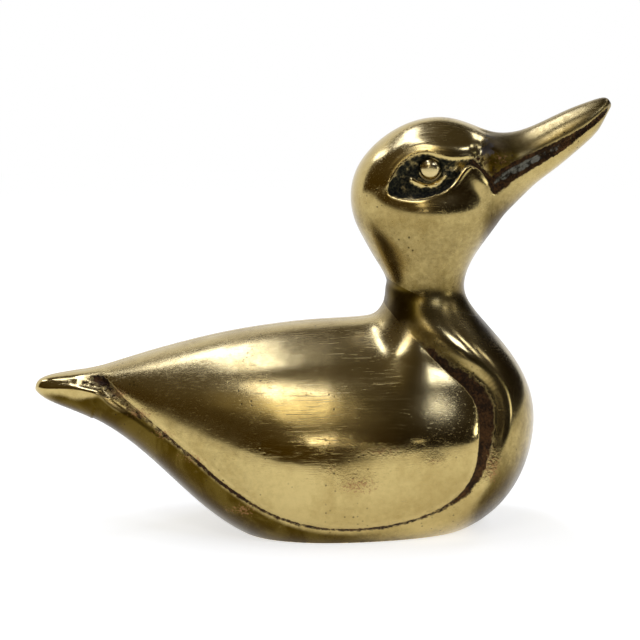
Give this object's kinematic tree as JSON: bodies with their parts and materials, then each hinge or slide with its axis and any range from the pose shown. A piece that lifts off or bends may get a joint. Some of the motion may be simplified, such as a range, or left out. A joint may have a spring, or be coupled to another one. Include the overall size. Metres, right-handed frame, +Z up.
{
  "type": "duck figurine",
  "caption": "Cast brass duck looking up, hollow body on a flat open foot, with separate head, upper bill and bead eyes.",
  "frame": {"origin": "on the resting surface, below the middle of the overall box", "axes": "+X toward the bill, +Y to the duck's left, +Z up"},
  "size_m": [0.15, 0.0614, 0.1119],
  "materials": {
    "cast_brass": "polished, with dark patina in the grooves",
    "bill_brass": "polished, tarnished along the mouth",
    "bead_brass": "bright polished",
    "screw_steel": "dull zinc plated",
    "washer_steel": "dull zinc plated"
  },
  "bodies": {
    "root": {"body_left": "cast_brass", "body_right": "cast_brass", "head": "cast_brass", "upper_bill": "bill_brass", "eye_left": "bead_brass", "eye_right": "bead_brass", "neck_screw": "screw_steel", "neck_washer": "washer_steel"}
  },
  "joints": []
}
